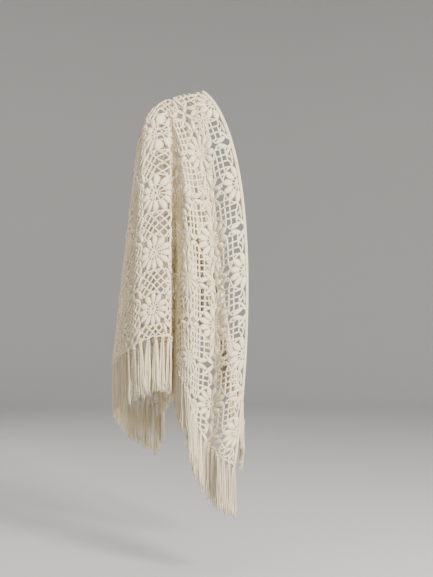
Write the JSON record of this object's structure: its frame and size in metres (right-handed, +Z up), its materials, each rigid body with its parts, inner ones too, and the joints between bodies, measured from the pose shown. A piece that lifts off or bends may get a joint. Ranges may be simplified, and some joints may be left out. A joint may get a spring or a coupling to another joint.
{
  "type": "draped lace shawl",
  "caption": "Triangular crocheted wool shawl of flower motifs with a long fringe, draped over the shoulder and hanging in folds at front and back.",
  "frame": {"origin": "on the shoulder beside the neck, at the underside of the cloth where the shoulder carries it", "axes": "+Z up, -Y to the front of the wearer, +X from the shoulder towards the neck"},
  "size_m": [0.4208, 0.3192, 1.3059],
  "materials": {
    "lace": "crocheted cream wool, matt and soft",
    "edge": "crocheted cream wool, worked densely",
    "fringe": "loose locks of cream wool yarn"
  },
  "bodies": {
    "root": {"square_r1_2": "lace", "square_r1_3": "lace", "square_r1_4": "lace", "square_r1_5": "lace", "square_r1_6": "lace", "square_r1_7": "lace", "square_r1_8": "lace", "square_r1_9": "lace", "square_r2_2": "lace", "square_r2_3": "lace", "square_r2_4": "lace", "square_r2_5": "lace", "square_r2_6": "lace", "square_r2_7": "lace", "square_r2_8": "lace", "square_r3_2": "lace", "square_r3_3": "lace", "square_r3_4": "lace", "square_r3_5": "lace", "square_r3_6": "lace", "square_r3_7": "lace", "square_r4_2": "lace", "square_r4_3": "lace", "square_r4_4": "lace", "square_r4_5": "lace", "square_r4_6": "lace", "square_r5_2": "lace", "square_r5_3": "lace", "square_r5_4": "lace", "square_r5_5": "lace", "square_r6_2": "lace", "square_r6_3": "lace", "square_r6_4": "lace", "square_r7_2": "lace", "square_r7_3": "lace", "square_r8_2": "lace", "half_1": "lace", "half_2": "lace", "half_3": "lace", "half_4": "lace", "half_5": "lace", "half_6": "lace", "half_7": "lace", "half_8": "lace", "half_9": "lace", "edge_1": "edge", "edge_2": "edge", "edge_3": "edge", "fringe_1": "fringe", "fringe_2": "fringe", "fringe_3": "fringe", "fringe_4": "fringe", "fringe_5": "fringe", "fringe_6": "fringe"}
  },
  "joints": []
}
